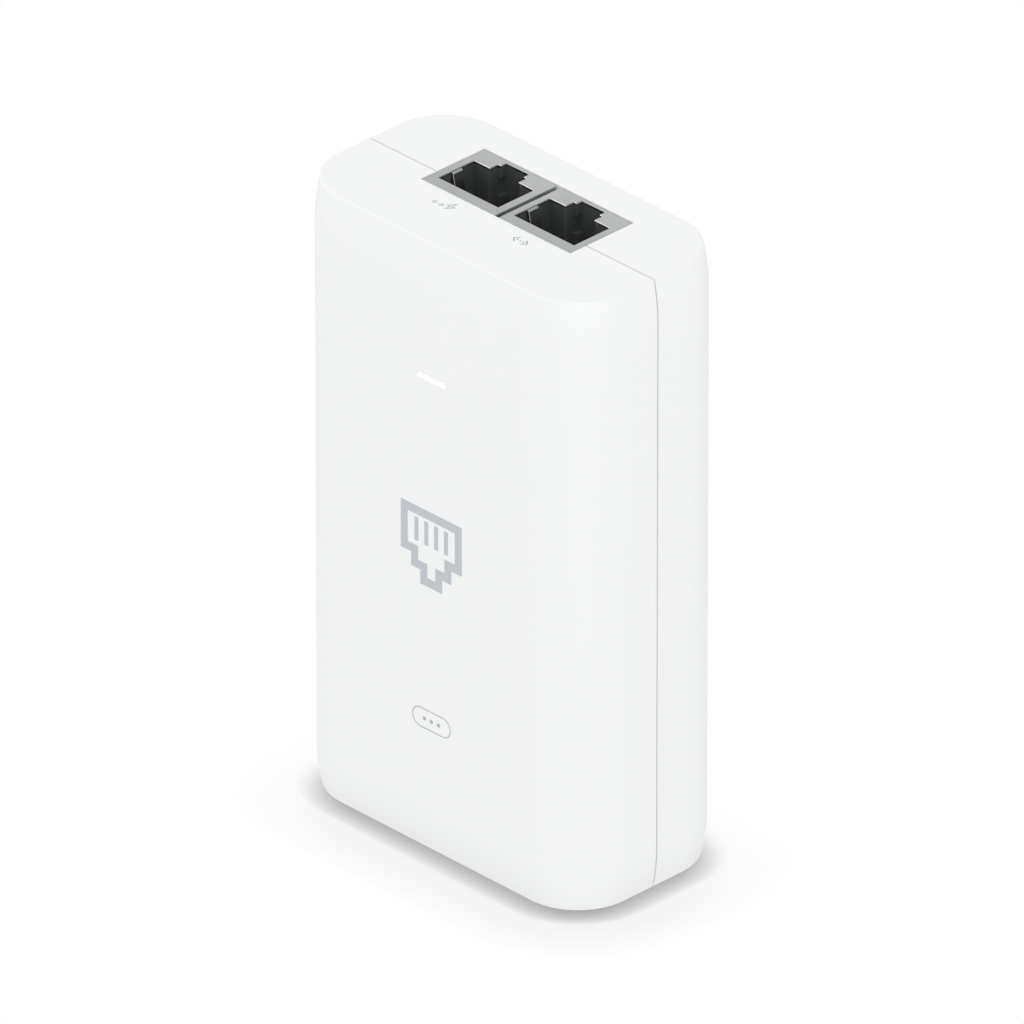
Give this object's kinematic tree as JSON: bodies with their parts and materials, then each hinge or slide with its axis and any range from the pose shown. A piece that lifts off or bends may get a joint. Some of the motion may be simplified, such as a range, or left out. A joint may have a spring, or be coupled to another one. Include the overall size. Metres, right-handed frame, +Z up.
{
  "type": "poe injector",
  "caption": "Upright mains PoE injector: rounded two-shell case, shielded network sockets on top, status light on the front, AC inlet below.",
  "frame": {"origin": "centre of the flat bottom face that the case stands on", "axes": "+X right across the front face, -Y the front with the status light, +Z up towards the sockets"},
  "size_m": [0.062, 0.0334, 0.104],
  "materials": {
    "case_white": "fine satin moulded white ABS and polycarbonate",
    "light_white": "milky diffusing polycarbonate",
    "led_body": "moulded lamp package",
    "board_green": "glass epoxy laminate under solder mask",
    "insulator": "thin polycarbonate sheet",
    "heat_aluminium": "mill-finish sheet",
    "thermal_pad": "soft filled silicone",
    "screw_steel": "zinc-plated steel",
    "label": "blank matte label",
    "socket_black": "glass-filled nylon",
    "shield_nickel": "nickel-plated brass sheet",
    "contact_gold": "gold-plated phosphor bronze",
    "pin_nickel": "nickel-plated brass",
    "ceramic_brown": "fuse body",
    "disc_blue": "dipped epoxy",
    "disc_olive": "dipped epoxy",
    "film_yellow": "film capacitor case",
    "ferrite": "sintered ferrite",
    "enamel_copper": "enamelled copper wire",
    "winding_tape": "polyester tape",
    "epoxy_black": "moulded epoxy package",
    "sleeve_blue": "shrunk sleeve over aluminium",
    "opto_white": "moulded epoxy package",
    "print_grey": "pad-printed ink"
  },
  "bodies": {
    "case": {"front_shell": "case_white", "rear_shell": "case_white", "light_pipe": "light_white", "status_led": "led_body", "circuit_board": "board_green", "rear_insulator": "insulator", "heat_spreader": "heat_aluminium", "thermal_pad": "thermal_pad", "case_screws": "screw_steel", "rating_label": "label", "inlet_housing": "socket_black", "inlet_pins": "pin_nickel", "fuse": "ceramic_brown", "varistor": "disc_blue", "thermistor": "disc_olive", "x_capacitor": "film_yellow", "y_capacitor": "disc_blue", "choke_base": "epoxy_black", "choke_core": "ferrite", "choke_windings": "enamel_copper", "bridge_rectifier": "epoxy_black", "bulk_capacitor": "sleeve_blue", "primary_heatsink": "heat_aluminium", "switching_transistor": "epoxy_black", "heatsink_screws": "screw_steel", "transformer_bobbin": "epoxy_black", "transformer_core": "ferrite", "transformer_windings": "winding_tape", "optocoupler": "opto_white", "secondary_heatsink": "heat_aluminium", "output_rectifier": "epoxy_black", "output_capacitors": "sleeve_blue", "output_inductor": "enamel_copper", "lan_magnetics": "epoxy_black", "poe_controller": "epoxy_black", "primary_controller": "epoxy_black", "left_socket_shield": "shield_nickel", "left_socket_housing": "socket_black", "left_socket_terminals": "contact_gold", "right_socket_shield": "shield_nickel", "right_socket_housing": "socket_black", "right_socket_terminals": "contact_gold"},
    "left_contacts": {"left_socket_contacts": "contact_gold"},
    "left_ground_spring_a": {"left_socket_ground_spring_a": "shield_nickel"},
    "left_ground_spring_b": {"left_socket_ground_spring_b": "shield_nickel"},
    "right_contacts": {"right_socket_contacts": "contact_gold"},
    "right_ground_spring_a": {"right_socket_ground_spring_a": "shield_nickel"},
    "right_ground_spring_b": {"right_socket_ground_spring_b": "shield_nickel"}
  },
  "joints": [
    {"name": "left_contact_flex", "type": "hinge", "parent": "case", "child": "left_contacts", "pos_m": [-0.00804, -0.00085, 0.10025], "axis": [-1, 0, 0], "range_deg": [0, 12], "stiffness_Nm_per_rad": 0.24},
    {"name": "left_ground_flex_a", "type": "hinge", "parent": "case", "child": "left_ground_spring_a", "pos_m": [-0.01451, 0.00265, 0.10376], "axis": [0, 1, 0], "range_deg": [0, 4.5], "stiffness_Nm_per_rad": 0.09},
    {"name": "left_ground_flex_b", "type": "hinge", "parent": "case", "child": "left_ground_spring_b", "pos_m": [-0.00156, 0.00265, 0.10376], "axis": [0, -1, 0], "range_deg": [0, 4.5], "stiffness_Nm_per_rad": 0.09},
    {"name": "right_contact_flex", "type": "hinge", "parent": "case", "child": "right_contacts", "pos_m": [0.00804, -0.00085, 0.10025], "axis": [-1, 0, 0], "range_deg": [0, 12], "stiffness_Nm_per_rad": 0.24},
    {"name": "right_ground_flex_a", "type": "hinge", "parent": "case", "child": "right_ground_spring_a", "pos_m": [0.00156, 0.00265, 0.10376], "axis": [0, 1, 0], "range_deg": [0, 4.5], "stiffness_Nm_per_rad": 0.09},
    {"name": "right_ground_flex_b", "type": "hinge", "parent": "case", "child": "right_ground_spring_b", "pos_m": [0.01451, 0.00265, 0.10376], "axis": [0, -1, 0], "range_deg": [0, 4.5], "stiffness_Nm_per_rad": 0.09}
  ]
}
